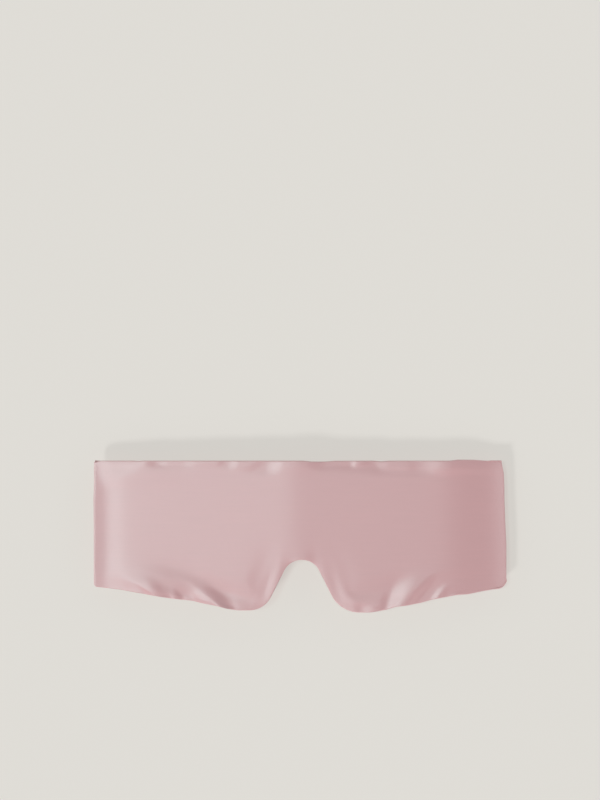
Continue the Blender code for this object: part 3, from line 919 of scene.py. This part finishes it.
def build_wing_padding(side, band, satin, lining, materials):
    """From where the cloth has turned with the fold to the wing's tip."""
    word = SIDES[side]
    turned = int(np.argmax(band.weight > FULL_WEIGHT))
    columns = slice(turned, len(band.x) - WING_PADDING_END)
    upper, lower = (
        mix(satin, lining, part)[columns, WING_PADDING_ROWS][PADDING_STEPS]
        for part in WING_PADDING
    )
    name = word + "_wing_padding"
    piece = slab(name, upper, lower, materials["wadding"], side < 0)
    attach(piece, word + "_wing")
    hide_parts(word + "_wing_wadding")


def build_front_padding(halves, materials):
    """The layers inside the front, each across both halves."""
    layers = []
    for side in (-1, 1):
        band, satin, lining = halves[side]
        inside = (slice(0, band.front - FRONT_PADDING_END), FRONT_PADDING_ROWS)
        pair = [grid[inside][PADDING_STEPS] for grid in (satin, lining)]
        if side < 0:
            pair = [grid[:0:-1] for grid in pair]
        layers.append(pair)
    satin, lining = (np.concatenate([layers[0][k], layers[1][k]]) for k in (0, 1))
    for name, top, low, slot, kind, node in FRONT_LAYERS:
        upper, lower = mix(satin, lining, top), mix(satin, lining, low)
        piece = slab(name, upper, lower, materials[kind])
        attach(piece, "front_pad")
        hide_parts(node)


def capsules(name, centres, along, length, radius, material):
    """One piece of sewing thread with a short capsule at every centre."""
    sides, rings = STITCH_SIDES, len(STITCH_RINGS)
    across = np.cross(along, ASKEW)
    across /= np.linalg.norm(across, axis=1, keepdims=True)
    up = np.cross(across, along)
    points = []
    for place, width in STITCH_RINGS:
        for angle in np.arange(sides) * 2 * math.pi / sides:
            out = across * math.cos(angle) + up * math.sin(angle)
            points.append(centres + along * place * length + out * width * radius)
    points = np.stack(points, 1)
    faces = []
    for k in range(len(centres)):
        first = k * sides * rings
        for low in range(first, first + sides * (rings - 1), sides):
            high = low + sides
            for j in range(sides):
                beside = (j + 1) % sides
                faces.append((low + j, low + beside, high + beside, high + j))
        faces.append(tuple(first + j for j in reversed(range(sides))))
        faces.append(tuple(first + sides * (rings - 1) + j for j in range(sides)))
    return new_piece(name, points.reshape(-1, 3).tolist(), faces, material)


def stitches_along(path, spacing):
    """(place in the path, centre, direction) of evenly spaced stitches along a path."""
    steps = np.linalg.norm(np.diff(path, axis=0), axis=1)
    length = np.concatenate([[0.0], np.cumsum(steps)])
    places = np.arange(spacing / 2, length[-1], spacing)
    centres, ahead = (
        np.stack([np.interp(places + shift, length, path[:, k]) for k in range(3)], 1)
        for shift in (0.0, spacing / 4)
    )
    direction = ahead - centres
    direction /= np.maximum(np.linalg.norm(direction, axis=1, keepdims=True), 1e-9)
    order = np.interp(places, length, np.arange(len(path)))
    return order, centres, direction


def build_seam(side, band, satin, lining, materials):
    """The stitches that close one half: lower edge, wing's tip, upper edge."""
    word = SIDES[side]
    middle = (satin + lining) / 2
    path = np.concatenate([middle[:, 0], middle[-1, 1:-1], middle[::-1, -1]])
    weights = np.repeat(band.weight[:, None], satin.shape[1], 1)
    weights = np.concatenate([weights[:, 0], weights[-1, 1:-1], weights[::-1, -1]])
    length, spacing, radius = SEAM_STITCH
    order, centres, direction = stitches_along(path, spacing)
    sewn = np.abs(centres[:, 0]) < HALF - UNSEWN
    order, centres, direction = order[sewn], centres[sewn], direction[sewn]
    piece = capsules("seam_" + word, centres, direction, length, radius, materials["thread"])
    bend_along(piece)
    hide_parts("front_top_seam", "front_bottom_seam", word + "_wing_seam")


def tab_grids():
    """(satin, lining, uv) grids of the hook tab, from its tip to its root."""
    width = TAB_HIGH.x - TAB_LOW.x
    x = row_places(np.zeros(1), np.full(1, width), TAB_ROWS, TAB_MIDDLE_COLUMNS)[0] + TAB_LOW.x
    cut = corner_cut(x - TAB_LOW.x, TAB_TIP_RADIUS)
    low, top = TAB_LOW.y + cut, TAB_HIGH.y - cut
    y = row_places(low, top, TAB_ROWS, TAB_MIDDLE_ROWS)
    x = np.repeat(x[:, None], y.shape[1], 1)
    gaps = (y - low[:, None], top[:, None] - y, x - TAB_LOW.x, TAB_HIGH.x - x)
    rises = (TAB_EDGE_RISE, TAB_EDGE_RISE, TAB_EDGE_RISE, TAB_ROOT_RISE)
    part = crown(gaps, rises)
    ripple = RIPPLE * np.sin(x / RIPPLE_LENGTH + RIPPLE_SWING * np.sin(x / RIPPLE_DRIFT))
    ripple = ripple * np.exp(-np.minimum(gaps[0], gaps[1]) / RIPPLE_REACH) * part
    satin = mix(TAB_SEAM_Z - CLOTH_GAP, TAB_LOW.z + CLOTH_GAP, part) + ripple
    lining = mix(TAB_SEAM_Z + CLOTH_GAP, TAB_HIGH.z - CLOTH_GAP, part) + ripple
    grids = [np.stack([x, y, z], -1) for z in (satin, lining)]
    return (*grids, np.stack([y, x], -1) / MM)


def build_tab(materials):
    """The hook tab's two cloths and the stitches round it."""
    satin, lining, uv = tab_grids()
    for name, grid, slot, kind, node, flip in (
        ("tab_satin", satin, "rose_satin", "satin", "hook_tab_satin", True),
        ("tab_lining", lining, "satin_lining", "lining", "hook_tab_lining", False),
    ):
        piece = cloth_sheet(name, grid, uv, materials[kind], flip)
        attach(piece, "hook_tab")
        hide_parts(node)
    middle = (satin + lining) / 2
    path = np.concatenate([middle[::-1, 0], middle[0, 1:-1], middle[:, -1]])
    length, spacing, radius = SEAM_STITCH
    _, centres, direction = stitches_along(path, spacing)
    piece = capsules("tab_seam", centres, direction, length, radius, materials["thread"])
    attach(piece, "hook_tab")
    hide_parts("hook_tab_seam")


def rounded_outline(low, high, radius, inset=0.0):
    """Points of a rectangle with round corners, anticlockwise."""
    left, right = low.x + radius, high.x - radius
    bottom, top = low.y + radius, high.y - radius
    steps = 5
    reach = radius - inset
    points = []
    centres = ((right, top), (left, top), (left, bottom), (right, bottom))
    for quarter, (x, y) in enumerate(centres):
        for step in range(steps + 1):
            angle = (quarter + step / steps) * math.pi / 2
            points.append((x + reach * math.cos(angle), y + reach * math.sin(angle)))
    return points


def build_plate(name, low, high, heights, material):
    """The flat woven base of a tape, with softened edges."""
    bottom, top = heights
    rings = (
        (TAPE_SOFT, bottom),
        (0, bottom + TAPE_SOFT),
        (0, top - TAPE_SOFT),
        (TAPE_SOFT, top),
    )
    points = []
    for inset, z in rings:
        points += [(x, y, z) for x, y in rounded_outline(low, high, TAPE_CORNER, inset)]
    count = len(points) // len(rings)
    faces = [tuple(reversed(range(count))), tuple(range(len(points) - count, len(points)))]
    for ring in range(len(rings) - 1):
        for j in range(count):
            a, b = ring * count + j, ring * count + (j + 1) % count
            faces.append((a, b, b + count, a + count))
    piece = new_piece(name, points, faces, material)
    piece.data.shade_flat()
    return piece


def bristles(name, low, high, base, pitch, shape, radius, material):
    """A field of bent threads: shape lists (out, up) points of one, turned about at random."""
    chance = np.random.default_rng(PILE_SEED)
    xs = np.arange(low.x + SELVAGE, high.x - SELVAGE, pitch)
    ys = np.arange(low.y + SELVAGE, high.y - SELVAGE, pitch)
    shape = np.array(shape) * MM
    sides, count = PILE_SIDES, len(shape)
    ahead = np.gradient(shape, axis=0)
    ahead /= np.linalg.norm(ahead, axis=1, keepdims=True)
    points, faces = [], []
    for x in xs:
        for y in ys:
            heading = chance.normal(0, PILE_HEADING)
            out = np.array((math.cos(heading), math.sin(heading), 0))
            across = np.array((-math.sin(heading), math.cos(heading), 0))
            centre = np.array((x, y, base)) + (*chance.normal(0, PILE_JITTER * pitch, 2), 0)
            first = len(points)
            for (far, rise), (step_out, step_up) in zip(shape, ahead):
                spine = centre + out * far + (0, 0, rise)
                normal = out * -step_up + np.array((0, 0, step_out))
                for k in range(sides):
                    turn = 2 * math.pi * k / sides
                    rim = across * math.cos(turn) + normal * math.sin(turn)
                    points.append(spine + radius * rim)
            for ring in range(count - 1):
                for k in range(sides):
                    a, b = first + ring * sides + k, first + ring * sides + (k + 1) % sides
                    faces.append((a, b, b + sides, a + sides))
            faces.append(tuple(first + k for k in reversed(range(sides))))
            faces.append(tuple(first + (count - 1) * sides + k for k in range(sides)))
    return new_piece(name, [tuple(p) for p in points], faces, material)


def build_tape(node, body, up, shape, pitch, radius, materials):
    """A tape's base, its pile and the stitches round its border."""
    low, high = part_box(node)
    face = low.z + TAPE_BASE if up > 0 else high.z - TAPE_BASE
    heights = (low.z, face) if up > 0 else (face, high.z)
    base = build_plate(node + "_base", low, high, heights, materials["tape"])
    shape = [(out, up * (rise - PILE_ROOT)) for out, rise in shape]
    name, material = node + "_pile", materials["pile"]
    field = bristles(name, low, high, face, pitch, shape, radius, material)
    inset = SELVAGE * TAPE_STITCH_PLACE
    outline = rounded_outline(low, high, TAPE_CORNER + inset, inset)
    path = np.array([(x, y, face + up * TAPE_STITCH_LIFT) for x, y in outline + outline[:1]])
    length, spacing, thick = TAPE_STITCH
    _, centres, direction = stitches_along(path, spacing)
    name = node + "_stitches"
    stitches = capsules(name, centres, direction, length, thick, materials["thread"])
    for piece, replaced in ((base, node), (field, node), (stitches, node + "_stitching")):
        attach(piece, body)
        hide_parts(replaced)


def main():
    studio()
    materials = {
        "satin": satin_material("rose_satin", (0.62, 0.319, 0.328), 0.45, 2.4),
        "lining": satin_material("satin_lining", (0.60, 0.35, 0.35), 0.5, 2.0),
        "wadding": fibre_material("wadding", (0.80, 0.78, 0.75), 0.9, 900, 0.35),
        "interfacing": fibre_material("interfacing", (0.72, 0.72, 0.70), 0.85, 2500, 0.2),
        "blackout": woven_material("blackout", (0.02, 0.02, 0.022), 0.8, 0.45),
        "tape": woven_material("tape", (0.42, 0.22, 0.225), 0.7, 0.6),
        "pile": nylon_material("pile", (0.50, 0.28, 0.285)),
        "thread": thread_material("thread", (0.50, 0.27, 0.28)),
    }
    interfacing = bpy.data.objects["hook_tab_interfacing"].data.materials
    interfacing.clear()
    interfacing.append(materials["interfacing"])
    halves = {side: build_half(side, materials) for side in SIDES}
    build_front_padding(halves, materials)
    for side, half in halves.items():
        build_seam(side, *half, materials)
    build_tab(materials)
    build_tape("hook_patch", "hook_tab", 1, HOOK, HOOK_PITCH, HOOK_RADIUS, materials)
    build_tape("loop_strip", "left_wing", -1, LOOP, LOOP_PITCH, LOOP_RADIUS, materials)


main()
